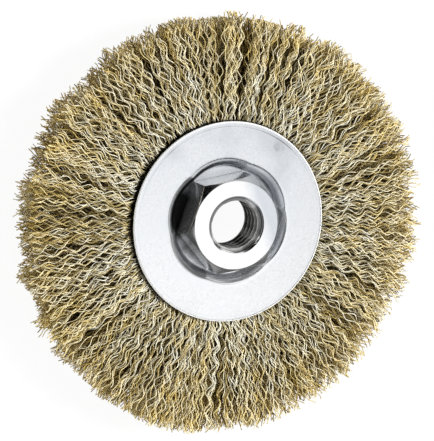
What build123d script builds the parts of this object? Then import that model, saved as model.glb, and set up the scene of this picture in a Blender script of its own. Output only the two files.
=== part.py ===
from build123d import *
import os
from math import cos, degrees, radians, sin, tan

os.makedirs("parts", exist_ok=True)

# Crimped wire wheel brush, lying on its back: the axis is +Z, the hub nut points up,
# and z = 0 is the outer face of the rear flange.

# Wire fill
brush_radius = 52.5
tip_spread = 3.0            # the shortest bundle ends this far inside the longest
wire_clearance = 0.3        # between the folded wires and the flange cups
fill_width = 10.5           # between the inner faces of the two flanges
row_count = 2               # the two legs of the folded wires
bundle_count = 80           # a multiple of four keeps the outline centred on the axis
bundle_gap = 0.65           # parallel slot between neighbouring bundles
crimp_bends = 4             # half waves along a bundle
crimp_height = 0.7          # how far a bend stands out sideways
length_cycle = 20           # bundle lengths repeat after a quarter turn
length_step = 7             # steps through the cycle, so that neighbours differ
bundle_relief = 0.9         # every other bundle lies this far below the face of its row
ledge_tuck = 0.8            # the low bundles begin this far inside the root of the slots

# Core ring, which the wires are folded over
core_section = 3.2          # side of the ring's square section
core_clearance = 0.2        # around the ring, inside its channel
fold_width = 0.6            # the folded wires between the ring and the cups

# Flanges, stamped from sheet
sheet = 1.0
flange_radius = 24.6
rim_bevel = 0.5
front_cup_depth = 3.3
front_lip_round = 1.9
front_bend_bevel = 0.6      # under the sheet, inside the bend
cup_corner_radius = 13.3    # out to the cusps between two lobes
lobe_bulge = 2.2            # how far a lobe stands out beyond the line between its cusps
rear_cup_inset = 1.1        # the mouth of the rear cup is this much narrower than the front cup's lobes
rear_cup_draft = 8.0
rear_lip_bevel = 1.2
slot_tuck = 1.3             # the bundles part this far under the flange's rim

# Hub nut
nut_across_flats = 22.0
nut_above_flange = 4.7      # from the front flange's flat to the nut's face
nut_face_radius = 10.85
nut_chamfer_angle = 30.0
thread_minor_radius = 5.92
mouth_radius = 7.15
mouth_angle = 60.0          # of the countersink's side, from the axis
collar_radius = 8.5
collar_clearance = 0.1      # between the collar and the holes in the flanges
swage_radius = 10.0
swage_height = 0.9
swage_mouth_radius = 6.9
swage_cone_height = 1.0     # the cone that the swaging tool leaves in the bore

# Levels that follow from these sizes
rear_inner_face = sheet
front_inner_face = rear_inner_face + fill_width
front_flat = front_inner_face + sheet
front_floor = front_flat - front_cup_depth
floor_joint = front_floor - sheet
rear_floor = floor_joint - sheet
nut_face = front_flat + nut_above_flange
collar_end = rear_floor - swage_height
row_height = fill_width / row_count
ring_level = rear_inner_face + fill_width / 2
front_cup_reach = cup_corner_radius * cos(radians(30)) + lobe_bulge + sheet + front_bend_bevel
rear_cup_lean = (floor_joint - rear_inner_face) * tan(radians(rear_cup_draft))
rear_cup_radius = front_cup_reach - rear_cup_inset - rear_cup_lean
wire_root_radius = front_cup_reach + wire_clearance
channel_inner_radius = wire_root_radius + fold_width
core_ring_radius = channel_inner_radius + core_clearance + core_section / 2
channel_outer_radius = core_ring_radius + core_section / 2 + core_clearance
channel_half_height = core_section / 2 + core_clearance
slot_root_radius = flange_radius - slot_tuck
bundle_pitch = 360 / bundle_count
root_gap_angle = degrees(bundle_gap / 2 / slot_root_radius)


def polar(radius, angle):
    """A point at this radius and angle in degrees about the brush's axis."""
    return (radius * cos(radians(angle)), radius * sin(radians(angle)))


def lobed_outline(growth):
    """Six arcs that bulge over the nut's flats and meet in cusps at its corners."""
    corner = cup_corner_radius + growth
    crown = cup_corner_radius * cos(radians(30)) + lobe_bulge + growth
    with BuildLine() as outline:
        for lobe in range(6):
            start = 60 * lobe
            ThreePointArc(polar(corner, start), polar(crown, start + 30), polar(corner, start + 60))
    return outline


def bundle_side(index, side, tip_radius):
    """One edge of a crimped bundle from its root to its tip: side is -1 or 1."""
    points = []
    for bend in range(crimp_bends + 1):
        radius = slot_root_radius + (tip_radius - slot_root_radius) * bend / crimp_bends
        swing = 0.0 if bend == 0 else crimp_height * (-1) ** bend
        half_width = radians(bundle_pitch) * radius / 2 - bundle_gap / 2
        turn = (swing + side * half_width) / radius
        points.append(polar(radius, index * bundle_pitch + degrees(turn)))
    return points


def row_outline(stride):
    """The toothed outline of a row of crimped bundles of several lengths; a stride of 2 skips the low ones."""
    points = []
    for index in range(0, bundle_count, stride):
        share = (index * length_step % length_cycle) / (length_cycle - 1)
        tip_radius = brush_radius - tip_spread * share
        for side in (-1, 1):
            edge = bundle_side(index, side, tip_radius)
            if stride > 1:
                root_angle = index * bundle_pitch + side * (bundle_pitch / 2 - root_gap_angle)
                edge.insert(0, polar(slot_root_radius - ledge_tuck, root_angle))
            points += edge if side < 0 else reversed(edge)
    return points


def wire_row(number, inner_level, outer_level, channel_level):
    """A row of bundles, half a pitch round from the other row, with its share of the ring's channel."""
    turn = number * bundle_pitch / row_count
    outwards = 1 if outer_level > inner_level else -1
    with BuildPart() as row:
        layers = ((inner_level, 1, row_height - bundle_relief), (outer_level, 2, -bundle_relief))
        for level, stride, height in layers:
            with BuildSketch(Plane.XY.offset(level).rotated((0, 0, turn))):
                with BuildLine():
                    Polyline(*row_outline(stride), close=True)
                make_face()
                Circle(wire_root_radius, mode=Mode.SUBTRACT)
            extrude(amount=outwards * height)
        with BuildSketch(Plane.XY.offset(channel_level)):
            Circle(channel_outer_radius)
            Circle(channel_inner_radius, mode=Mode.SUBTRACT)
        extrude(amount=channel_half_height, mode=Mode.SUBTRACT)
    return row


# Rear row: the wires' legs behind the core ring.
with BuildPart() as wire_row_rear:
    add(wire_row(0, ring_level, rear_inner_face, ring_level - channel_half_height).part)

# Front row: the legs on the nut's side of the core ring.
with BuildPart() as wire_row_front:
    add(wire_row(1, ring_level, front_inner_face, ring_level).part)

# Core ring: a closed ring of square rod in the channel that the folded wires make.
with BuildPart() as core_ring:
    with BuildSketch(Plane.XZ):
        with Locations((core_ring_radius, ring_level)):
            Rectangle(core_section, core_section)
    revolve(axis=Axis.Z)

# Front flange: a flat stamped disc with a shallow six-lobed cup round the nut.
with BuildPart() as front_flange:
    with BuildSketch(Plane.XY.offset(front_inner_face)):
        Circle(flange_radius)
    extrude(amount=sheet)
    chamfer(front_flange.edges().group_by(Axis.Z)[-1], rim_bevel)
    with BuildSketch(Plane.XY.offset(floor_joint)):
        with BuildLine():
            add(lobed_outline(sheet).line)
        make_face()
    extrude(amount=front_inner_face - floor_joint)
    bends = front_flange.edges().filter_by_position(Axis.Z, front_inner_face, front_inner_face)
    chamfer(bends.sort_by(SortBy.LENGTH)[:6], front_bend_bevel)
    with BuildSketch(Plane.XY.offset(front_floor)):
        with BuildLine():
            add(lobed_outline(0).line)
        make_face()
    extrude(amount=front_cup_depth, mode=Mode.SUBTRACT)
    lip = front_flange.faces().filter_by(Plane.XY).group_by(Axis.Z)[-1].face().inner_wires()
    fillet(lip.edges(), front_lip_round)
    with BuildSketch(Plane.XY.offset(floor_joint)):
        Circle(collar_radius + collar_clearance)
    extrude(amount=sheet, mode=Mode.SUBTRACT)

# Rear flange: the same disc with a deep round cup that reaches up to the front flange's floor.
with BuildPart() as rear_flange:
    with BuildSketch(Plane.XY):
        Circle(flange_radius)
    extrude(amount=sheet)
    chamfer(rear_flange.edges().group_by(Axis.Z)[0], rim_bevel)
    with BuildSketch(Plane.XY.offset(floor_joint)):
        Circle(rear_cup_radius)
    extrude(amount=rear_inner_face - floor_joint, taper=-rear_cup_draft)
    with BuildSketch(Plane.XY.offset(rear_floor)):
        Circle(rear_cup_radius - sheet)
    extrude(amount=-rear_floor, taper=-rear_cup_draft, mode=Mode.SUBTRACT)
    lip = rear_flange.faces().filter_by(Plane.XY).group_by(Axis.Z)[0].face().inner_wires()
    chamfer(lip.edges(), rear_lip_bevel)
    with BuildSketch(Plane.XY.offset(rear_floor)):
        Circle(collar_radius + collar_clearance)
    extrude(amount=sheet, mode=Mode.SUBTRACT)

# Hub nut: a chamfered hexagon with a collar that is swaged over behind the rear flange.
with BuildPart() as hub_nut:
    with BuildSketch(Plane.XY.offset(front_floor)):
        RegularPolygon(nut_across_flats / 2, 6, major_radius=False, rotation=0)
    extrude(amount=nut_face - front_floor)
    with BuildSketch(Plane.XZ):
        with BuildLine():
            reach = nut_across_flats
            drop = (reach - nut_face_radius) * tan(radians(nut_chamfer_angle))
            Polyline((nut_face_radius, nut_face), (reach, nut_face - drop), (reach, nut_face), close=True)
        make_face()
    revolve(axis=Axis.Z, mode=Mode.SUBTRACT)
    with BuildSketch(Plane.XZ):
        with BuildLine():
            Polyline(
                (thread_minor_radius, front_floor),
                (collar_radius, front_floor),
                (collar_radius, rear_floor),
                (swage_radius, rear_floor),
                (swage_radius, rear_floor - swage_height / 2),
                (swage_radius - swage_height / 2, collar_end),
                (thread_minor_radius, collar_end),
                close=True,
            )
        make_face()
    revolve(axis=Axis.Z)
    with BuildSketch(Plane.XZ):
        mouth_depth = (mouth_radius - thread_minor_radius) / tan(radians(mouth_angle))
        with BuildLine():
            Polyline(
                (0, collar_end),
                (swage_mouth_radius, collar_end),
                (thread_minor_radius, collar_end + swage_cone_height),
                (thread_minor_radius, nut_face - mouth_depth),
                (mouth_radius, nut_face),
                (0, nut_face),
                close=True,
            )
        make_face()
    revolve(axis=Axis.Z, mode=Mode.SUBTRACT)

pieces = {
    "wire_row_rear": wire_row_rear,
    "wire_row_front": wire_row_front,
    "core_ring": core_ring,
    "front_flange": front_flange,
    "rear_flange": rear_flange,
    "hub_nut": hub_nut,
}
for name, piece in pieces.items():
    piece.part.label = name
    export_step(piece.part, f"parts/{name}.step")
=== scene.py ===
import math

import bpy
import numpy as np
from mathutils import Matrix, Vector


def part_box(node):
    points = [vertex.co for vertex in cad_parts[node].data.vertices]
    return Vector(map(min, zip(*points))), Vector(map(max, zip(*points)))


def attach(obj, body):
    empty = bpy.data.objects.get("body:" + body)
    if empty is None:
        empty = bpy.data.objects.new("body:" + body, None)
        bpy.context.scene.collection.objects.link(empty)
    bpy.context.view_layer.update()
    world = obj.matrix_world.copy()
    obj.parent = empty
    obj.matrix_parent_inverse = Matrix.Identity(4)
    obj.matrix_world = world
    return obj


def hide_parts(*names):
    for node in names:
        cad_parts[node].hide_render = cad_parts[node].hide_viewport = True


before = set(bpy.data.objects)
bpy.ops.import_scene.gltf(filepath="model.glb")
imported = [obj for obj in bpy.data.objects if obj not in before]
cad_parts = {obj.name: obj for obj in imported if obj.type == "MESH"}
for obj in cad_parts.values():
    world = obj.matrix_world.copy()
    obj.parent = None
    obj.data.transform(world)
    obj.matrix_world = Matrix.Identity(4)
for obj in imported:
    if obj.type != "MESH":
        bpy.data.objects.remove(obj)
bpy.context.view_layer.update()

MM = 0.001
FULL_TURN = 2 * math.pi

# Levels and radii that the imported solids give, in millimetres
NUT_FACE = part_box("hub_nut")[1][2] / MM
COLLAR_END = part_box("hub_nut")[0][2] / MM
FRONT_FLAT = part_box("front_flange")[1][2] / MM
FLOOR_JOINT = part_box("front_flange")[0][2] / MM
FLANGE_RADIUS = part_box("front_flange")[1][0] / MM
FILL_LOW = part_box("wire_row_rear")[0][2] / MM
FILL_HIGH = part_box("wire_row_front")[1][2] / MM
FILL_MIDDLE = (FILL_LOW + FILL_HIGH) / 2
BRUSH_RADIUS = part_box("wire_row_rear")[1][0] / MM
NUT_FLATS = (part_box("hub_nut")[1][1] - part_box("hub_nut")[0][1]) / MM

# Sizes of the hub that the boxes don't give, in millimetres
SHEET = 1.0
FRONT_FLOOR = FLOOR_JOINT + SHEET
REAR_FLOOR = FLOOR_JOINT - SHEET
COLLAR_RADIUS = 8.5
HOLE_RADIUS = 8.6
SWAGE_RADIUS = 10.0
SWAGE_MOUTH = 6.9
CUP_CUSP = 13.3
CUP_CROWN = 13.72
CUP_CORNER_ROUND = 0.5
LIP_CUSP = 15.2
LIP_CROWN = 15.8
LIP_SHIFT = 0.4
LIP_DEPTH = 2.2
FRONT_RIM_ROUND = 0.4
REAR_CUP_RADIUS = 13.2
REAR_LIP_ROUND = 1.6
REAR_RIM_ROUND = 0.75
THREAD_MINOR = 5.92
THREAD_MAJOR = 7.0
THREAD_PITCH = 2.0
MOUTH_RADIUS = 7.15
SHADE_RING_RADIUS = 6.72
NUT_FACE_RADIUS = 10.85

# Angles and curves of the hub. A bluntness of 1 gives the lip an elliptic round, and 2 a straight bevel.
# The swaged end's round is 0.8 times as wide as that end is high. MOUTH_ANGLE is from the nut's axis.
LIP_BLUNTNESS = 1.2
SWAGE_ROUND_WIDTH = 0.8
SIXTH = math.radians(60)
CUSP_SOFTNESS = math.radians(0.8)
REAR_CUP_DRAFT = math.radians(8)
NUT_CHAMFER = math.radians(30)
MOUTH_ANGLE = math.radians(60)

# How many points the meshes have round the axis
NUT_COLUMNS = 240
FRONT_FLANGE_COLUMNS = 432
REAR_FLANGE_COLUMNS = 240
DEEP_FILL_COLUMNS = 480

# Sides of the hub that a shape, a finish, painted light or painted shade leans to, as angles about the axis
LIP_SHIFT_SIDE = math.radians(142)
FLANGE_SHADOW_SIDE = math.radians(125)
CUP_FLOOR_SHADE_SIDE = math.radians(200)
HAZE_SIDE = math.radians(15)
SHEEN_SIDE = math.radians(81.6)
NUT_SHADE_SIDE = math.radians(11.53)

# The photograph's frame, and how its camera stands to the brush's axis
PHOTO_WIDTH = 434
TILT = math.radians(23.871)
TILT_DIRECTION = math.radians(24.371)
HEX_TURN = math.radians(8.385)
CAMERA_DISTANCE = 600 * MM
FOCAL_PIXELS = 2467.23
AIM_LEVEL = 9.0 * MM
AIM_SHIFT = (1.7018 * MM, 0.1733 * MM)
SENSOR_WIDTH = 36

# The studio, in metres. A direction from the brush is a turn and a slant in degrees, as in toward().
FLOOR_REACH = 3.0
WALL_RADIUS = 1.5
SQUARE = ((-1, -1), (1, -1), (1, 1), (-1, 1))

# Lamps: turn and slant, distance, width and power
LAMPS = (
    ("key", 5, 48, 1.2, 0.35, 27.0),
    ("low", -80, 50, 1.2, 0.6, 4.5),
    ("left", 165, 66, 1.2, 0.5, 7.0),
)

# Walls: the turns that they span, the slant of their top, and their tone, where 1 is white
WALLS = (
    ("wall_left", 165, 240, 38, 0.14),
    ("wall_low", 240, 318, 38, 0.24),
    ("wall_back", 95, 165, 62, 0.06),
    ("wall_right", -42, 4, 75, 0.28),
    ("wall_ahead", 4, 62, 75, 0.80),
    ("wall_high", 62, 95, 75, 0.0),
)

# Cards: turn and slant, distance, half their side, and their tone
CARDS = (
    ("card_camera", 158, 26, 0.9, 0.33, 0.02),
    ("card_low", 268, 33, 0.9, 0.38, 0.18),
    ("card_mouth", 262, 62, 0.9, 0.15, 0.6),
    ("card_high", 18, 38, 0.4, 0.10, 0.75),
    ("card_lip", 302, 46, 0.9, 0.17, 0.0),
    ("card_ahead", 16, 62, 0.9, 0.18, 0.05),
    ("card_corner", 41, 64, 0.9, 0.20, 1.3),
    ("card_back", 110, 44, 0.9, 0.26, 0.0),
    ("card_right", 338, 46, 0.9, 0.24, 0.12),
    ("card_bright", 328, 20, 0.9, 0.20, 1.19),
)


class Field:
    """A node's output that can stand in a formula: each sign in the formula adds one math node."""

    def __init__(self, nodes, socket):
        self.nodes = nodes
        self.socket = socket

    def math(self, operation, *others):
        node = self.nodes.tree.nodes.new("ShaderNodeMath")
        node.operation = operation
        for place, value in enumerate((self, *others)):
            self.nodes.feed(node.inputs[place], value)
        return Field(self.nodes, node.outputs[0])

    def __add__(self, other):
        return self.math("ADD", other)

    def __radd__(self, other):
        return self.math("ADD", other)

    def __sub__(self, other):
        return self.math("SUBTRACT", other)

    def __rsub__(self, other):
        return (self * -1.0).math("ADD", other)

    def __mul__(self, other):
        return self.math("MULTIPLY", other)

    def __truediv__(self, other):
        return self.math("DIVIDE", other)

    def __pow__(self, other):
        return self.math("POWER", other)

    def sin(self):
        return self.math("SINE")

    def cos(self):
        return self.math("COSINE")


class Nodes:
    """Short calls that add nodes to a tree and link them."""

    # Places of sockets whose names other sockets share, on the Mix node and on the Mix Shader node
    FIRST_COLOUR, SECOND_COLOUR, MIXED_COLOUR = 6, 7, 2
    FIRST_SHADER, SECOND_SHADER = 1, 2

    def __init__(self, tree):
        self.tree = tree

    def feed(self, socket, value):
        if isinstance(value, Field):
            value = value.socket
        if isinstance(value, bpy.types.NodeSocket):
            self.tree.links.new(value, socket)
        else:
            socket.default_value = value

    def add(self, kind, inputs=None, **settings):
        node = self.tree.nodes.new(kind)
        for name, value in settings.items():
            setattr(node, name, value)
        for name, value in (inputs or {}).items():
            self.feed(node.inputs[name], value)
        return node

    def field(self, node, output=0):
        return Field(self, node.outputs[output])

    def attribute(self, name):
        return self.field(self.add("ShaderNodeAttribute", attribute_name=name), "Fac")

    def parts(self, vector):
        """The x, y and z of a vector."""
        node = self.add("ShaderNodeSeparateXYZ", {"Vector": vector})
        return [self.field(node, axis) for axis in "XYZ"]

    def noise(self, vector, scale, detail=0.0):
        inputs = {"Vector": vector, "Scale": scale, "Detail": detail}
        return self.field(self.add("ShaderNodeTexNoise", inputs), "Fac")

    def vector(self, x, y, z):
        return self.field(self.add("ShaderNodeCombineXYZ", {"X": x, "Y": y, "Z": z}))

    def ramp(self, factor, stops):
        """A colour ramp: stops is a list of (place, colour)."""
        node = self.add("ShaderNodeValToRGB", {"Fac": factor})
        elements = node.color_ramp.elements
        while len(elements) < len(stops):
            elements.new(0.5)
        for element, (place, colour) in zip(elements, stops):
            element.position = place
            element.color = (*colour, 1.0)
        return self.field(node, "Color")

    def mix(self, share, first, second, blend="MIX"):
        """Two colours, of which the second counts by its share."""
        inputs = {"Factor": share, self.FIRST_COLOUR: first, self.SECOND_COLOUR: second}
        node = self.add("ShaderNodeMix", inputs, data_type="RGBA", blend_type=blend)
        return self.field(node, self.MIXED_COLOUR)

    def span(self, value, low, high, at_low=0.0, at_high=1.0):
        """at_low where the value is low, at_high where it is high, and even in between."""
        inputs = {
            "Value": value,
            "From Min": low,
            "From Max": high,
            "To Min": at_low,
            "To Max": at_high,
        }
        return self.field(self.add("ShaderNodeMapRange", inputs, clamp=True))

    def fade(self, value, start, end, at_start=0.0, at_end=1.0):
        """span for a length, with its start and end in millimetres."""
        return self.span(value, start * MM, end * MM, at_start, at_end)


def new_object(name, mesh, material):
    """An object at the origin, in the scene, with one material."""
    mesh.materials.append(material)
    piece = bpy.data.objects.new(name, mesh)
    bpy.context.scene.collection.objects.link(piece)
    return piece


def grid_mesh(name, rows):
    """A closed mesh of rows of points round the axis, in millimetres: the last row joins the first."""
    rows = np.asarray(rows, float) * MM
    count, columns = rows.shape[:2]
    faces = []
    for row in range(count):
        here = row * columns
        above = (row + 1) % count * columns
        for column in range(columns):
            beside = (column + 1) % columns
            faces.append((here + column, here + beside, above + beside, above + column))
    mesh = bpy.data.meshes.new(name)
    mesh.from_pydata(rows.reshape(-1, 3).tolist(), [], faces)
    mesh.validate()
    return mesh


def ring(radius, level, angles):
    """One row of a grid: radius and level are numbers, or one value for each angle."""
    radius = np.broadcast_to(radius, angles.shape)
    level = np.broadcast_to(level, angles.shape)
    return np.stack([radius * np.cos(angles), radius * np.sin(angles), level], axis=1)


def turned(columns):
    """Equal steps once round the axis."""
    return np.linspace(0, FULL_TURN, columns, endpoint=False)


def lobed(angles, cusp, crown):
    """The radius of six arcs that bulge to crown and meet in soft cusps over the nut's corners."""
    reach = cusp * math.cos(SIXTH / 2)
    half = cusp * math.sin(SIXTH / 2)
    centre = (crown**2 - reach**2 - half**2) / (2 * (crown - reach))
    arc = crown - centre
    from_cusp = (angles + SIXTH / 2) % SIXTH - SIXTH / 2
    from_crown = SIXTH / 2 - np.sqrt(from_cusp**2 + CUSP_SOFTNESS**2)
    return centre * np.cos(from_crown) + np.sqrt(arc**2 - (centre * np.sin(from_crown)) ** 2)


def smooth(piece, angle):
    """Smooth shading, but for edges sharper than this angle in degrees."""
    piece.data.shade_smooth()
    piece.data.set_sharp_from_angle(angle=math.radians(angle))
    return piece


# Materials


def new_material(name):
    material = bpy.data.materials.new(name)
    material.use_nodes = True
    nodes = Nodes(material.node_tree)
    shader = material.node_tree.nodes["Principled BSDF"]
    return material, nodes, shader


def bump(nodes, shader, height, distance, strength=1.0):
    inputs = {"Height": height, "Distance": distance, "Strength": strength}
    nodes.feed(shader.inputs["Normal"], nodes.field(nodes.add("ShaderNodeBump", inputs)))


def roughen(nodes, shader, noise, glossy, dull):
    """Roughness that follows a noise, whose values are mostly between 0.3 and 0.7."""
    nodes.feed(shader.inputs["Roughness"], nodes.span(noise, 0.3, 0.7, glossy, dull))


class Place:
    """Where a point of the brush is, and fades from one place to another, given in millimetres."""

    def __init__(self, nodes):
        self.nodes = nodes
        self.point = nodes.field(nodes.add("ShaderNodeTexCoord"), "Object")
        self.across, self.deep, self.level = nodes.parts(self.point)
        self.from_axis = (self.across * self.across + self.deep * self.deep) ** 0.5

    def noise(self, scale, detail):
        return self.nodes.noise(self.point, scale, detail)

    def towards(self, side, start, end, at_start=0.0, at_end=1.0):
        """A fade towards one side of the brush, which is an angle about the axis."""
        distance = self.across * math.cos(side) + self.deep * math.sin(side)
        return self.nodes.fade(distance, start, end, at_start, at_end)

    def outwards(self, start, end, at_start=0.0, at_end=1.0):
        """A fade from one radius to another."""
        return self.nodes.fade(self.from_axis, start, end, at_start, at_end)

    def upwards(self, start, end, at_start=0.0, at_end=1.0):
        """A fade from one level to another, down where the second is lower."""
        return self.nodes.fade(self.level, start, end, at_start, at_end)

    def near_radius(self, radius, start, end, at_start, at_end):
        """A fade away from one radius, both inwards and outwards."""
        distance = (self.from_axis - radius * MM).math("ABSOLUTE")
        return self.nodes.fade(distance, start, end, at_start, at_end)


def brassed_wire():
    """Brass-coated wire, each in its own tone, drawn at random within its fan's range, whose darker range
    deep in the fill is painted shade: straw yellow where it is bright, brown where it is dull, with a
    painted highlight at the tips and a painted shadow by the flange.
    """
    patchiness, painted_tip_highlight = 0.5, 0.18
    gilt_colour = (1.0, 0.83, 0.38, 1.0)
    flange_shadow_width = (0.1 * MM, 0.4 * MM)
    flange_shadow_tone = 0.2
    material, nodes, shader = new_material("brassed_wire")
    place = Place(nodes)
    tone = nodes.attribute("tone")
    along = nodes.attribute("along")
    patch = place.noise(scale=260.0, detail=2.0)
    # Painted highlight: the wires are lighter towards their tips
    brightness = nodes.span(tone + (patch - 0.5) * patchiness + along ** 3.0 * painted_tip_highlight, 0.0, 1.0)
    brass = nodes.ramp(brightness, [
        (0.0, (0.09, 0.065, 0.03)),
        (0.3, (0.32, 0.255, 0.11)),
        (0.6, (0.71, 0.61, 0.34)),
        (1.0, (1.0, 0.97, 0.82)),
    ])
    golden = place.noise(scale=240.0, detail=1.0)
    gilt = nodes.span(golden * 0.8 + along * 0.3 + nodes.attribute("gilt") * 0.22, 0.38, 0.92, 0.0, 0.9)
    gilded = nodes.mix(gilt, brass, gilt_colour, "MULTIPLY")

    # Painted shadow of the flange's rim: the wires are darkened in a narrow band round the flange, which is
    # widest on one side
    flange_shadow_reach = place.towards(FLANGE_SHADOW_SIDE, -12.0, 18.0, *flange_shadow_width) * (patch + 0.5)
    rim = FLANGE_RADIUS * MM
    shade = nodes.span(place.from_axis, flange_shadow_reach * 0.5 + rim, flange_shadow_reach + rim, flange_shadow_tone, 1.0)
    nodes.feed(shader.inputs["Base Color"], nodes.mix(1.0, gilded, shade, "MULTIPLY"))
    shader.inputs["Metallic"].default_value = 0.4
    roughen(nodes, shader, place.noise(scale=900.0, detail=1.0), glossy=0.24, dull=0.40)
    return material


def painted_shade_fill():
    """The middle of the fill, painted near black as shade, which shows only as darkness between the wires.
    """
    material, nodes, shader = new_material("painted_shade_fill")
    strands = Place(nodes).noise(scale=700.0, detail=3.0)
    nodes.feed(shader.inputs["Base Color"], nodes.ramp(strands, [
        (0.35, (0.015, 0.011, 0.006)),
        (0.65, (0.10, 0.075, 0.035)),
    ]))
    shader.inputs["Metallic"].default_value = 0.4
    shader.inputs["Roughness"].default_value = 0.6
    bump(nodes, shader, strands, 0.4 * MM)
    return material


def front_cup_only(place):
    """1 above the joint of the two cups' floors, and 0 below it, on the rear flange."""
    return place.upwards(FLOOR_JOINT - 0.1, FLOOR_JOINT + 0.1)


def sheet_tone(place, cloud):
    """How light the sheet is: clouds, a painted broad sheen and a painted bright rim, less painted shade in
    a crease, on the lip, in the cup and under the rim.
    """
    base_tone, cloud_depth = 0.42, 0.7
    # Painted sheen: the sheet is lighter towards one side
    sheen = place.towards(SHEEN_SIDE, -20.0, 18.0, 0.26, -0.22)
    # Painted highlight: a bright line just inside the rim
    rim = place.outwards(FLANGE_RADIUS - 0.6, FLANGE_RADIUS - 0.4, at_end=0.4)
    # Painted shade: a faint dark line where the sheet bends, inside the rim
    painted_crease_shade = place.near_radius(FLANGE_RADIUS - 1.2, 0.06, 0.16, 0.20, 0.0) * cloud

    # Painted shade: the floor of the front cup is darkened, most on one side
    cup_floor_shade = place.towards(CUP_FLOOR_SHADE_SIDE, 4.0, 9.0, 0.12, 0.43)
    cup_floor_shade = cup_floor_shade * place.upwards(FRONT_FLAT - 2.4, FRONT_FLAT - 2.8) * front_cup_only(place)

    # Painted shade: the round of the lip is darker on the side where it is widest
    lip = place.towards(LIP_SHIFT_SIDE, 3.0, 14.0, at_end=0.42)
    lip = lip * place.upwards(FRONT_FLAT - 0.04, FRONT_FLAT - 0.5)
    lip = lip * place.upwards(FRONT_FLAT - 1.9, FRONT_FLAT - 1.2)

    # Painted shade: the cut edge under the rim is dark
    edge = place.outwards(FLANGE_RADIUS - 0.3, FLANGE_RADIUS - 0.1, at_end=1.5)
    edge = edge * place.upwards(FRONT_FLAT - 0.25, FRONT_FLAT - 0.45)
    return (cloud - 0.5) * cloud_depth + base_tone + sheen + rim - painted_crease_shade - lip - cup_floor_shade - edge


def sheet_dullness(place):
    """How far the sheet is from bare metal: its cut edge is worn, and one side of the cup is hazy."""
    worn = place.outwards(FLANGE_RADIUS - 0.34, FLANGE_RADIUS - 0.26, at_end=0.8)
    worn = worn * place.upwards(FRONT_FLAT - 0.45, FRONT_FLAT - 0.3)
    hazy = place.towards(HAZE_SIDE, 7.0, 12.0, at_end=0.55) * front_cup_only(place)
    hazy = hazy * place.outwards(LIP_CROWN + 1.2, LIP_CROWN + 0.2)
    hazy = hazy * place.upwards(FRONT_FLAT - 0.05, FRONT_FLAT - 0.3)
    return worn + hazy


def zinc_sheet():
    """Bright zinc on stamped sheet: faintly blue and cloudy, with a worn edge, a painted sheen and rim
    highlight, and painted shade in the cup, on the lip and under the rim.
    """
    material, nodes, shader = new_material("zinc_sheet")
    place = Place(nodes)
    cloud = place.noise(scale=90.0, detail=4.0)
    grain = place.noise(scale=1500.0, detail=3.0)
    nodes.feed(shader.inputs["Base Color"], nodes.ramp(sheet_tone(place, cloud), [
        (0.0, (0.06, 0.06, 0.06)),
        (0.12, (0.62, 0.64, 0.67)),
        (0.3, (0.80, 0.82, 0.85)),
        (0.7, (0.96, 0.97, 0.99)),
        (1.0, (1.0, 1.0, 1.0)),
    ]))
    nodes.feed(shader.inputs["Metallic"], 1.0 - sheet_dullness(place))
    roughen(nodes, shader, cloud * 0.6 + grain * 0.4, glossy=0.20, dull=0.30)
    bump(nodes, shader, grain, 0.01 * MM, 0.3)
    return material


def thread_shade(place):
    """0 on the thread's crests, and more down in its grooves."""
    turns = place.level / (THREAD_PITCH * MM) - place.deep.math("ARCTAN2", place.across) / FULL_TURN
    depth = 1.0 - (turns.math("FRACT") * 2.0 - 1.0).math("ABSOLUTE")
    return place.nodes.span(depth, 0.1, 0.5, 0.0, 0.6)


def nut_lines(place, outside, facing_up):
    """Painted shade on the nut: a thin dark ring in its mouth, its chamfer and the thread's grooves."""
    chamfer_shade = 0.5
    mouth_ring_shade = place.near_radius(SHADE_RING_RADIUS, 0.05, 0.12, 0.25, 1.0)
    span = place.nodes.span
    chamfered = span(facing_up, 0.5, 0.6) * span(facing_up, 0.97, 0.93) * place.outwards(9.0, 9.5)
    grooved = (1.0 - outside) * thread_shade(place)
    return mouth_ring_shade * (1.0 - chamfered * chamfer_shade) * (1.0 - grooved)


def zinc_nut():
    """Bright zinc on the cut and turned nut: glossier than the sheet, dull grey down in its bore, with
    painted shade deeper in the bore, on one side, on its chamfer, in its thread and in a ring in its mouth.
    """
    material, nodes, shader = new_material("zinc_nut")
    place = Place(nodes)
    cloud = place.noise(scale=120.0, detail=4.0)
    grain = place.noise(scale=2200.0, detail=2.0)
    mouth = place.upwards(NUT_FACE - 0.9, NUT_FACE - 0.6)
    outside = place.outwards(MOUTH_RADIUS - 0.1, MOUTH_RADIUS + 0.05).math("MAXIMUM", mouth)
    # Dull grey in the bore, with painted shade that darkens it further down
    bore = nodes.ramp(place.upwards(NUT_FACE - 5.5, NUT_FACE - 0.8), [
        (0.0, (0.20, 0.20, 0.19)),
        (0.4, (0.24, 0.24, 0.23)),
        (0.6, (0.50, 0.50, 0.48)),
        (1.0, (0.62, 0.62, 0.60)),
    ])
    # Painted shade: the nut's zinc greys towards one side
    grey = place.towards(NUT_SHADE_SIDE, 3.0, 9.0, at_end=0.6)
    plated = nodes.ramp(cloud * 0.6 + 0.4 - grey, [
        (0.2, (0.62, 0.65, 0.69)),
        (0.5, (0.85, 0.86, 0.87)),
        (0.8, (0.94, 0.94, 0.94)),
    ])
    facing_up = nodes.parts(nodes.add("ShaderNodeNewGeometry").outputs["Normal"])[2]
    lines = nut_lines(place, outside, facing_up)
    colour = nodes.mix(1.0, nodes.mix(outside, bore, plated), lines, "MULTIPLY")
    nodes.feed(shader.inputs["Base Color"], colour)
    metallic = nodes.span(outside, 0.0, 1.0, 0.5, 1.0) * nodes.span(facing_up, 0.1, 0.4, 0.94, 1.0)
    nodes.feed(shader.inputs["Metallic"], metallic)
    roughen(nodes, shader, cloud * 0.5 + grain * 0.5, glossy=0.10, dull=0.22)
    bump(nodes, shader, grain, 0.012 * MM, 0.6)
    return material


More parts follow.
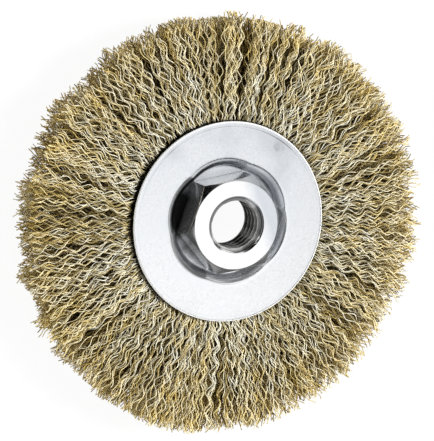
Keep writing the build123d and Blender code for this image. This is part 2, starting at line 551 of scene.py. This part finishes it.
# Hub. The small steps beside each edge in the outlines below soften it, and keep the faces beyond it flat.


def thread_radius(angles, level):
    """The wall of a right-hand thread at this level, with a flat crest and a flat root."""
    crest, root = 0.12, 0.90
    share = (level / THREAD_PITCH - angles / FULL_TURN) % 1.0
    depth = 1 - np.abs(2 * share - 1)
    depth = np.clip((depth - crest) / (root - crest), 0, 1)
    return THREAD_MINOR + (THREAD_MAJOR - THREAD_MINOR) * depth


def outer_nut_rows(angles):
    """The nut's outside, from its mouth over the face, the hexagon and the collar to the swaged end."""
    hexagon = NUT_FLATS / 2 / np.cos(angles % SIXTH - SIXTH / 2)
    slope = math.tan(NUT_CHAMFER)
    chamfer = hexagon - NUT_FACE_RADIUS
    shoulder = NUT_FACE - chamfer * slope
    profile = [
        (MOUTH_RADIUS + 0.04, NUT_FACE),
        (MOUTH_RADIUS + 0.2, NUT_FACE),
        (NUT_FACE_RADIUS - 0.3, NUT_FACE),
        (NUT_FACE_RADIUS - 0.05, NUT_FACE),
        (NUT_FACE_RADIUS + 0.02, NUT_FACE - 0.025),
        (NUT_FACE_RADIUS + chamfer * 0.2, NUT_FACE - chamfer * 0.2 * slope),
        (NUT_FACE_RADIUS + chamfer * 0.85, NUT_FACE - chamfer * 0.85 * slope),
        (hexagon - 0.03, shoulder),
        (hexagon, shoulder - 0.06),
        (hexagon, shoulder - 0.25),
        (hexagon, FRONT_FLOOR + 0.35),
        (hexagon - 0.02, FRONT_FLOOR + 0.22),
        (hexagon - 0.2, FRONT_FLOOR + 0.05),
        (hexagon - 0.3, FRONT_FLOOR),
        (COLLAR_RADIUS, FRONT_FLOOR),
        (COLLAR_RADIUS, REAR_FLOOR),
        (SWAGE_RADIUS - 0.15, REAR_FLOOR),
    ]
    height = REAR_FLOOR - COLLAR_END
    for turn in np.linspace(0, math.pi / 2, 7):
        profile.append((
            SWAGE_RADIUS - height * SWAGE_ROUND_WIDTH * (1 - math.cos(turn)),
            REAR_FLOOR - 0.1 - (height - 0.1) * math.sin(turn),
        ))
    profile.append((SWAGE_MOUTH + 0.2, COLLAR_END))
    return [ring(radius, level, angles) for radius, level in profile]


def bore_rows(angles):
    """The nut's bore, from the cone at its swaged end up the thread to the cone of its mouth."""
    rows_per_turn = 16
    plain_end, cut_in = 0.6, 1.2
    height = NUT_FACE - COLLAR_END
    steps = int(height / (THREAD_PITCH / rows_per_turn))
    rows = []
    for step in range(steps + 1):
        rise = height * step / steps
        level = COLLAR_END + rise
        swage_cone = SWAGE_MOUTH - rise
        mouth_cone = MOUTH_RADIUS - (NUT_FACE - level) * math.tan(MOUTH_ANGLE)
        cone = max(swage_cone, mouth_cone)
        wall = np.maximum(thread_radius(angles, level), max(cone, THREAD_MINOR))
        cut = min(1.0, max(0.0, (rise - plain_end) / cut_in))
        wall = np.maximum(THREAD_MINOR + (wall - THREAD_MINOR) * cut, cone)
        rows.append(ring(wall, level, angles))
    return rows


def nut_rows():
    """The nut's grid, down its outside and back up its bore, in the order that turns its faces outwards."""
    angles = turned(NUT_COLUMNS)
    return (outer_nut_rows(angles) + bore_rows(angles))[::-1]


def front_flange_rows():
    """The front flange's grid: the cup's floor, its lobed wall and lip, the flat, the rim and underside."""
    angles = turned(FRONT_FLANGE_COLUMNS)
    wall = lobed(angles, CUP_CUSP, CUP_CROWN)
    lip = lobed(angles, LIP_CUSP, LIP_CROWN) + LIP_SHIFT * np.cos(angles - LIP_SHIFT_SIDE)
    profile = [
        (HOLE_RADIUS, FRONT_FLOOR),
        (wall - CUP_CORNER_ROUND - 0.25, FRONT_FLOOR),
        (wall - CUP_CORNER_ROUND, FRONT_FLOOR),
    ]
    for turn in np.radians((30, 60, 90)):
        profile.append((
            wall - CUP_CORNER_ROUND * (1 - math.sin(turn)),
            FRONT_FLOOR + CUP_CORNER_ROUND * (1 - math.cos(turn)),
        ))
    for turn in np.radians(np.linspace(0, 90, 15)):
        profile.append((
            lip - (lip - wall) * math.cos(turn) ** LIP_BLUNTNESS,
            FRONT_FLAT - LIP_DEPTH * (1 - math.sin(turn) ** LIP_BLUNTNESS),
        ))
    rim_start = FLANGE_RADIUS - FRONT_RIM_ROUND
    for share in (0.08, 0.25, 0.5, 0.75, 0.95, 1.0):
        profile.append((lip + (rim_start - lip) * share, FRONT_FLAT))
    for turn in np.radians((15, 30, 45, 60, 75, 90)):
        profile.append((
            rim_start + FRONT_RIM_ROUND * math.sin(turn),
            FRONT_FLAT - FRONT_RIM_ROUND * (1 - math.cos(turn)),
        ))
    underside = FRONT_FLAT - SHEET
    profile += [
        (FLANGE_RADIUS, underside + 0.1),
        (FLANGE_RADIUS - 0.1, underside),
        (wall + SHEET + 0.6, underside),
        (wall + SHEET, underside - 0.6),
        (wall + SHEET, FLOOR_JOINT + 0.4),
        (wall + SHEET - 0.4, FLOOR_JOINT),
        (HOLE_RADIUS, FLOOR_JOINT),
    ]
    return [ring(radius, level, angles) for radius, level in profile]


def rear_flange_rows():
    """The rear flange's grid: the same disc turned over, with a deep round cup up to the front flange."""
    angles = turned(REAR_FLANGE_COLUMNS)
    lean = math.tan(REAR_CUP_DRAFT)
    inner = REAR_CUP_RADIUS - SHEET
    inner_mouth = inner + lean * (REAR_FLOOR - REAR_LIP_ROUND)
    profile = [
        (HOLE_RADIUS, REAR_FLOOR),
        (inner - 0.4, REAR_FLOOR),
        (inner - 0.1, REAR_FLOOR - 0.12),
        (inner + 0.04, REAR_FLOOR - 0.4),
    ]
    for turn in np.radians(np.linspace(0, 90, 9)):
        profile.append((
            inner_mouth + REAR_LIP_ROUND * (1 - math.cos(turn)),
            REAR_LIP_ROUND * (1 - math.sin(turn)),
        ))
    for turn in np.radians(np.linspace(0, 90, 6)):
        profile.append((
            FLANGE_RADIUS - REAR_RIM_ROUND * (1 - math.sin(turn)),
            REAR_RIM_ROUND * (1 - math.cos(turn)),
        ))
    profile += [
        (FLANGE_RADIUS, SHEET - 0.1),
        (FLANGE_RADIUS - 0.1, SHEET),
        (REAR_CUP_RADIUS + lean * (FLOOR_JOINT - SHEET), SHEET),
        (REAR_CUP_RADIUS + 0.03, FLOOR_JOINT - 0.3),
        (REAR_CUP_RADIUS - 0.3, FLOOR_JOINT),
        (HOLE_RADIUS, FLOOR_JOINT),
    ]
    return [ring(radius, level, angles) for radius, level in profile][::-1]


def make_hub(sheet, nut):
    """The nut and both flanges, each one mesh in place of its solid."""
    parts = [
        ("nut_threaded", "hub_nut", nut_rows(), nut, "nut_zinc", 24),
        ("flange_stamped_front", "front_flange", front_flange_rows(), sheet, "flange_zinc", 40),
        ("flange_stamped_rear", "rear_flange", rear_flange_rows(), sheet, "flange_zinc", 40),
    ]
    for name, node, rows, material, slot, sharp_angle in parts:
        piece = smooth(new_object(name, grid_mesh(name, rows), material), sharp_angle)
        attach(piece, "root")
        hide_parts(node)


# Wires


# Each wire draws these by chance. A draw's seed is made of its place in this list and its fan's number.
DRAWS = (
    "turn", "level", "shortness", "pitch", "phase", "crimp", "weave phase", "lean",
    "bow", "lift", "tone", "stray", "stray side", "gilt", "weave",
)
SEEDS_BETWEEN_FANS = 31.0

# How neighbouring wires go together: tufts differ in length, their wires draw together at the tips by a
# share of the tuft's width, and noises of these sizes shift, lean, swing and bunch them
TUFTS = 110
TUFT_REACH = 2.8 * MM
TUFT_LEAN = 12.0 * MM
TUFT_GATHER = 0.72
TUFT_WANDER = 4.0
TUFT_SWING = 3.2
BUNCH_WIDTH = 1.5 * MM

# How single wires differ from their tuft, at most
OWN_SWING = 0.36
OWN_SHORTNESS = 2.6 * MM
OWN_LEAN = 1.4 * MM
OWN_BOW = 1.0 * MM
OWN_LIFT = 0.5 * MM
STRAY_LEAN = 7.0 * MM

# Where the wires crimp and the fill swells as they come free of the flanges, in millimetres from the axis
CLAMPED_TO = 22.5
FREE_FROM = 27.0
PINCHED_TO = 25.2
SWELL_START = 24.6
SWELL_END = 26.8

WIRE_SIDES = 3

WIRE_INPUTS = {
    "Wires": ("NodeSocketInt", 1000),
    "Seed": ("NodeSocketInt", 1),
    "Segments": ("NodeSocketInt", 24),
    "Root radius": ("NodeSocketFloat", 22.0 * MM),
    "Tip radius": ("NodeSocketFloat", 52.0 * MM),
    "Low level": ("NodeSocketFloat", 1.0 * MM),
    "High level": ("NodeSocketFloat", 11.0 * MM),
    "Middle level": ("NodeSocketFloat", 6.0 * MM),
    "Flare": ("NodeSocketFloat", 0.12),
    "Golden share": ("NodeSocketFloat", 0.3),
    "Crimp pitch": ("NodeSocketFloat", 5.3 * MM),
    "Crimp height": ("NodeSocketFloat", 0.53 * MM),
    "Weave height": ("NodeSocketFloat", 0.65 * MM),
    "Wire radius": ("NodeSocketFloat", 0.135 * MM),
    "Uneven": ("NodeSocketFloat", 1.2 * MM),
    "Long side": ("NodeSocketFloat", math.radians(262)),
    "Dullest": ("NodeSocketFloat", 0.0),
    "Brightest": ("NodeSocketFloat", 1.0),
    "Material": ("NodeSocketMaterial", None),
}

# Fans of wires: how many wires, how many segments in each, the radius and the lowest and highest level of
# their roots in millimetres, how much they flare, and their dullest and brightest tone
# The fans under the faces have darker tones, which are painted shade deep in the fill
FANS = (
    ("wires_front_face", 860, 38, 23.5, FILL_HIGH - 1.3, FILL_HIGH - 0.4, 0.12, 0.3, 1.6),
    ("wires_front_under", 1150, 28, 23.5, FILL_HIGH - 3.4, FILL_HIGH - 1.3, 0.12, 0.0, 0.36),
    ("wires_middle", 2700, 10, 38.0, FILL_LOW + 3.0, FILL_HIGH - 2.6, 0.12, 0.2, 1.2),
    ("wires_rear_under", 900, 20, 23.5, FILL_LOW + 1.7, FILL_LOW + 4.2, 0.03, 0.0, 0.6),
    ("wires_rear_face", 780, 30, 23.5, FILL_LOW + 0.9, FILL_LOW + 1.9, 0.03, 0.5, 1.15),
)

# How far a wire reaches, in millimetres, before its side, its tuft and chance make it longer or shorter
WIRE_REACH = BRUSH_RADIUS - 1.6


class FanNodes(Nodes):
    """The nodes of a fan of wires: its named inputs, its straight wires, and a chance for each wire."""

    def __init__(self, tree):
        super().__init__(tree)
        for name, (kind, value) in WIRE_INPUTS.items():
            socket = tree.interface.new_socket(name, in_out="INPUT", socket_type=kind)
            if value is not None:
                socket.default_value = value
        sockets = self.add("NodeGroupInput").outputs
        self.given = {socket.name: Field(self, socket) for socket in sockets if socket.name}
        line = self.add("GeometryNodeCurvePrimitiveLine")
        spaced = self.add("GeometryNodeResampleCurve", {
            "Curve": line.outputs[0],
            "Count": self.given["Segments"] + 1.0,
        })
        self.straight = self.add("GeometryNodeDuplicateElements", {
            "Geometry": spaced.outputs[0],
            "Amount": self.given["Wires"],
        }, domain="SPLINE")
        self.wire = self.field(self.straight, "Duplicate Index")
        self.along = self.field(self.add("GeometryNodeSplineParameter"), "Factor")

    def chance(self, draw, low=0.0, high=1.0):
        """One random number for each wire, the same all along it."""
        node = self.add("FunctionNodeRandomValue", data_type="FLOAT")
        seed = self.given["Seed"] * SEEDS_BETWEEN_FANS + float(DRAWS.index(draw) + 1)
        values = {"Min": low, "Max": high, "ID": self.wire, "Seed": seed}
        for socket in node.inputs:
            if socket.enabled and socket.name in values:
                self.feed(socket, values[socket.name])
        return Field(self, next(socket for socket in node.outputs if socket.enabled))

    def either_way(self, draw, size):
        """A random size to one side or the other."""
        return self.chance(draw, -size, size)

    def store(self, wires, values):
        """The wires with named values kept on their points, for their material to read."""
        for name, value in values.items():
            inputs = {"Geometry": wires.outputs[0], "Name": name, "Value": value}
            wires = self.add("GeometryNodeStoreNamedAttribute", inputs, data_type="FLOAT", domain="POINT")
        return wires


def tuft_traits(nodes, angle, level):
    """What neighbouring wires share: how they lean and crimp, and the tuft that they gather into."""
    flat_place = nodes.vector(angle.cos(), angle.sin(), 0.0)
    round_place = nodes.vector(angle.cos(), angle.sin(), level * 60.0)
    tuft_place = angle * (TUFTS / FULL_TURN) + nodes.noise(flat_place, scale=9.0) * TUFT_WANDER
    number = tuft_place.math("FLOOR")
    own = nodes.add("ShaderNodeTexWhiteNoise", {"W": number}, noise_dimensions="1D")
    return {
        "lean": nodes.noise(round_place, scale=7.0, detail=1.0) - 0.5,
        "phase": nodes.noise(round_place, scale=7.5, detail=1.0),
        "pitch": nodes.noise(round_place, scale=4.0),
        "off middle": tuft_place - number - 0.5,
        "reach": nodes.field(own) - 0.5,
    }


def wire_radius(nodes, tuft, angle):
    """How far out each point of a wire is."""
    given = nodes.given
    longer = (angle + given["Long side"] * -1.0).cos() * given["Uneven"]
    shorter = nodes.chance("shortness") ** 3.0 * OWN_SHORTNESS
    reach = given["Tip radius"] + longer + tuft["reach"] * TUFT_REACH - shorter
    return given["Root radius"] + (reach - given["Root radius"]) * nodes.along


def crimp(nodes, tuft, radius):
    """The crimp of a wire: its wave sideways, and its weave up and down."""
    given = nodes.given
    pitch = given["Crimp pitch"] * (0.85 + tuft["pitch"] * 0.3) * nodes.chance("pitch", 0.93, 1.07)
    phase = (tuft["phase"] * TUFT_SWING + nodes.chance("phase") * OWN_SWING) * FULL_TURN
    crimped = (radius - given["Root radius"]) / pitch * FULL_TURN + phase
    wave = crimped.sin() * given["Crimp height"] * nodes.chance("crimp", 0.6, 1.4)
    woven = (crimped + nodes.chance("weave phase") * FULL_TURN).sin()
    return wave, woven * given["Weave height"] * nodes.chance("weave", 0.5, 1.2)


def wire_place(nodes, tuft, angle, level, radius):
    """Where each point of a wire is, once it crimps, bows, leans, gathers into its tuft and flares."""
    given, along = nodes.given, nodes.along
    wave, weave = crimp(nodes, tuft, radius)
    free = nodes.fade(radius, CLAMPED_TO, FREE_FROM)
    stray = nodes.chance("stray") ** 8.0 * nodes.either_way("stray side", STRAY_LEAN)
    lean = tuft["lean"] * TUFT_LEAN + nodes.either_way("lean", OWN_LEAN) + stray
    gather = tuft["off middle"] * (-TUFT_GATHER * FULL_TURN / TUFTS) * radius * along ** 2.5
    bow = nodes.either_way("bow", OWN_BOW) * (along * math.pi).sin()
    bunch_place = nodes.vector(angle.cos(), angle.sin(), radius * 6.0 + level * 20.0)
    bunch = (nodes.noise(bunch_place, scale=26.0) - 0.5) * BUNCH_WIDTH
    sideways = free * (wave + bunch + bow) + lean * along + gather
    upward = free * (weave + nodes.either_way("lift", OWN_LIFT) * along)

    # The flanges pinch the fill, which swells again outside them and flares to its tips
    pinched = nodes.fade(radius, CLAMPED_TO, PINCHED_TO, 0.16, 0.0)
    swollen = nodes.fade(radius, SWELL_START, SWELL_END, 0.0, 1.1)
    spread = (level - given["Middle level"]) * ((along + swollen) * given["Flare"] - pinched)
    turned_angle = angle + sideways / radius
    return nodes.vector(radius * turned_angle.cos(), radius * turned_angle.sin(), level + spread + upward)


def wire_tree():
    """Geometry nodes for a fan of crimped wires round the axis, each a thin tube with a wave of its own."""
    tree = bpy.data.node_groups.new("crimped_wires", "GeometryNodeTree")
    nodes = FanNodes(tree)
    given = nodes.given
    angle = (nodes.wire + nodes.chance("turn")) / given["Wires"] * FULL_TURN
    level = given["Low level"] + (given["High level"] - given["Low level"]) * nodes.chance("level")
    tuft = tuft_traits(nodes, angle, level)
    radius = wire_radius(nodes, tuft, angle)
    place = wire_place(nodes, tuft, angle, level, radius)
    bent = nodes.add("GeometryNodeSetPosition", {"Geometry": nodes.straight.outputs[0], "Position": place})
    # A tone drawn at random for each wire between its fan's dullest and brightest, whose darker range in
    # the deeper fans is painted shade
    toned = nodes.store(bent, {
        "tone": given["Dullest"] + (given["Brightest"] - given["Dullest"]) * nodes.chance("tone"),
        "gilt": nodes.span(given["Golden share"] - nodes.chance("gilt"), -0.1, 0.1),
        "along": nodes.fade(radius, 30.0, 52.0),
    })
    section = nodes.add("GeometryNodeCurvePrimitiveCircle", {
        "Resolution": WIRE_SIDES,
        "Radius": given["Wire radius"],
    })
    tube = nodes.add("GeometryNodeCurveToMesh", {
        "Curve": toned.outputs[0],
        "Profile Curve": section.outputs[0],
        "Fill Caps": True,
    })
    rounded = nodes.add("GeometryNodeSetShadeSmooth", {"Geometry": tube.outputs[0], "Shade Smooth": True})
    real = nodes.add("GeometryNodeRealizeInstances", {"Geometry": rounded.outputs[0]})
    dressed = nodes.add("GeometryNodeSetMaterial", {
        "Geometry": real.outputs[0],
        "Material": given["Material"],
    })
    tree.interface.new_socket("Geometry", in_out="OUTPUT", socket_type="NodeSocketGeometry")
    nodes.add("NodeGroupOutput", {"Geometry": dressed.outputs[0]})
    return tree


def grown(name, tree, inputs):
    """A plain object with the mesh that a geometry tree makes of these inputs."""
    piece = bpy.data.objects.new(name, bpy.data.meshes.new(name))
    bpy.context.scene.collection.objects.link(piece)
    modifier = piece.modifiers.new("grow", "NODES")
    modifier.node_group = tree
    for item in tree.interface.items_tree:
        if item.in_out == "INPUT" and item.name in inputs:
            modifier[item.identifier] = inputs[item.name]
    graph = bpy.context.evaluated_depsgraph_get()
    mesh = bpy.data.meshes.new_from_object(piece.evaluated_get(graph), depsgraph=graph)
    piece.modifiers.remove(modifier)
    piece.data = mesh
    mesh.name = name
    return piece


def make_wires(material):
    """The fans of wires through the width of the fill, the most finely bent on its two faces."""
    tree = wire_tree()
    for seed, (name, count, segments, root, low, high, flare, dull, bright) in enumerate(FANS, start=1):
        piece = grown(name, tree, {
            "Wires": count,
            "Seed": seed,
            "Segments": segments,
            "Root radius": root * MM,
            "Tip radius": WIRE_REACH * MM,
            "Low level": low * MM,
            "High level": high * MM,
            "Middle level": FILL_MIDDLE * MM,
            "Flare": flare,
            "Dullest": dull,
            "Brightest": bright,
            "Material": material,
        })
        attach(piece, "root")
        if name == "wires_front_face":
            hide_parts("wire_row_front")
        if name == "wires_rear_face":
            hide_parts("wire_row_rear")


def make_deep_fill(material):
    """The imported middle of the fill: a disc with wavy radial ridges that thins towards the tips."""
    inner, outer = 16.0, 46.0
    half_root, half_tip = 2.6, 1.2
    ridges, ridge_height = 120, 0.35
    ridge_sway, ridge_swing = 1.5, 1.2
    angles = turned(DEEP_FILL_COLUMNS)
    top, bottom = [], []
    for share in np.linspace(0, 1, 16):
        radius = inner + (outer - inner) * share
        half = half_root + (half_tip - half_root) * share
        ridge = ridge_height * np.sin(ridges * angles + ridge_sway * math.sin(radius * ridge_swing))
        top.append(ring(radius, FILL_MIDDLE + half + ridge, angles))
        bottom.append(ring(radius, FILL_MIDDLE - half + ridge, angles))
    # The disc is painted near black, as the shade deep between the wires
    piece = new_object("fill_middle", grid_mesh("fill_middle", top + bottom[::-1]), material)
    smooth(piece, 60)
    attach(piece, "root")


# Stage, lamps and camera


def make_floor():
    """A white floor that glows for the camera and in reflections, so that its edge can't be seen."""
    glow_share = 0.94
    material, nodes, shader = new_material("floor_white")
    shader.inputs["Base Color"].default_value = (0.9, 0.9, 0.9, 1)
    shader.inputs["Roughness"].default_value = 0.9
    light = nodes.add("ShaderNodeLightPath")
    seen = nodes.field(light, "Is Camera Ray").math("MAXIMUM", nodes.field(light, "Is Glossy Ray"))
    glow = nodes.add("ShaderNodeEmission", {"Color": (1, 1, 1, 1), "Strength": 1.0})
    mixed = nodes.add("ShaderNodeMixShader", {
        "Fac": seen * glow_share,
        nodes.FIRST_SHADER: shader.outputs[0],
        nodes.SECOND_SHADER: glow.outputs[0],
    })
    nodes.feed(material.node_tree.nodes["Material Output"].inputs["Surface"], mixed.outputs[0])
    mesh = bpy.data.meshes.new("floor")
    corners = [(x * FLOOR_REACH, y * FLOOR_REACH, 0) for x, y in SQUARE]
    mesh.from_pydata(corners, [], [(0, 1, 2, 3)])
    new_object("floor", mesh, material)


def camera_axes():
    """The camera's own axes in the brush's frame, as the rows of a matrix."""
    axis = Vector((
        math.sin(TILT) * math.cos(TILT_DIRECTION),
        -math.sin(TILT) * math.sin(TILT_DIRECTION),
        math.cos(TILT),
    ))
    across = (Vector((1, 0, 0)) - axis.x * axis).normalized()
    up = axis.cross(across)
    brush_x = math.cos(HEX_TURN) * across + math.sin(HEX_TURN) * up
    brush_y = -math.sin(HEX_TURN) * across + math.cos(HEX_TURN) * up
    return Matrix((brush_x, brush_y, axis)).transposed()


def make_camera():
    """The photograph's camera. Its axes are returned, because the studio is placed by them."""
    axes = camera_axes()
    data = bpy.data.cameras.new("camera")
    data.sensor_fit = "HORIZONTAL"
    data.sensor_width = SENSOR_WIDTH
    data.lens = FOCAL_PIXELS * SENSOR_WIDTH / PHOTO_WIDTH
    data.clip_end = 10
    camera = bpy.data.objects.new("camera", data)
    turn = axes.transposed()
    away = turn @ Vector((-AIM_SHIFT[0], -AIM_SHIFT[1], CAMERA_DISTANCE))
    camera.matrix_world = Matrix.Translation(Vector((0, 0, AIM_LEVEL)) + away) @ turn.to_4x4()
    bpy.context.scene.collection.objects.link(camera)
    bpy.context.scene.camera = camera
    return axes


def toward(axes, turn, slant):
    """A direction from the brush: its turn is from the picture's right, its slant from the brush's axis."""
    turn, slant = math.radians(turn), math.radians(slant)
    camera_right = Vector((axes[0][0], axes[0][1], 0)).normalized()
    camera_up = Vector((0, 0, 1)).cross(camera_right)
    flat = math.cos(turn) * camera_right + math.sin(turn) * camera_up
    return math.sin(slant) * flat + math.cos(slant) * Vector((0, 0, 1))


def make_lamp(name, direction, distance, width, power):
    """A soft square lamp that faces the brush, and that no reflection shows."""
    data = bpy.data.lights.new(name, "AREA")
    data.size = width
    data.energy = power
    lamp = bpy.data.objects.new(name, data)
    lamp.location = direction * distance
    lamp.rotation_euler = direction.to_track_quat("Z", "Y").to_euler()
    lamp.visible_glossy = False
    bpy.context.scene.collection.objects.link(lamp)


def make_light(axes):
    """The lamps, in a room that looks white but lights the brush only faintly."""
    room_light = 0.06
    world = bpy.data.worlds.new("studio")
    bpy.context.scene.world = world
    world.use_nodes = True
    nodes = Nodes(world.node_tree)
    light = nodes.add("ShaderNodeLightPath")
    seen = nodes.field(light, "Is Camera Ray")
    for kind in ("Is Glossy Ray", "Is Transmission Ray"):
        seen = seen.math("MAXIMUM", nodes.field(light, kind))
    back = world.node_tree.nodes["Background"]
    back.inputs["Color"].default_value = (1, 1, 1, 1)
    nodes.feed(back.inputs["Strength"], nodes.span(seen, 0.0, 1.0, room_light, 1.0))
    for name, turn, slant, distance, width, power in LAMPS:
        make_lamp(name, toward(axes, turn, slant), distance, width, power)


def make_panel(name, corners, faces, tone):
    """A panel of one tone, which only reflections see."""
    material, _, shader = new_material(name + "_paint")
    shader.inputs["Base Color"].default_value = (0, 0, 0, 1)
    shader.inputs["Specular IOR Level"].default_value = 0.0
    shader.inputs["Emission Color"].default_value = (tone, tone, tone, 1)
    shader.inputs["Emission Strength"].default_value = 1.0
    mesh = bpy.data.meshes.new(name)
    mesh.from_pydata(corners, [], faces)
    piece = new_object(name, mesh, material)
    piece.visible_camera = False
    piece.visible_diffuse = False
    piece.visible_shadow = False
    piece.visible_transmission = False


def make_walls(axes):
    """Upright walls on a circle round the brush, for the steep sides of its metal to mirror."""
    for name, start, end, slant, tone in WALLS:
        corners = []
        for turn in range(start, end + 1):
            top = toward(axes, turn, slant) * (WALL_RADIUS / math.sin(math.radians(slant)))
            corners += [(top.x, top.y, 0), tuple(top)]
        faces = [(i, i + 2, i + 3, i + 1) for i in range(0, len(corners) - 2, 2)]
        make_panel(name, corners, faces, tone)


def make_cards(axes):
    """Square cards over the brush, black to brighter than white, that stretches of the hub mirror."""
    for name, turn, slant, distance, half, tone in CARDS:
        middle = toward(axes, turn, slant) * distance
        side = middle.orthogonal().normalized() * half
        rise = middle.cross(side).normalized() * half
        corners = [middle + side * x + rise * y for x, y in SQUARE]
        make_panel(name, corners, [(0, 1, 2, 3)], tone)


axes = make_camera()
make_light(axes)
make_walls(axes)
make_cards(axes)
make_floor()
make_hub(zinc_sheet(), zinc_nut())
make_wires(brassed_wire())
make_deep_fill(painted_shade_fill())

bpy.context.scene.view_settings.view_transform = "Standard"
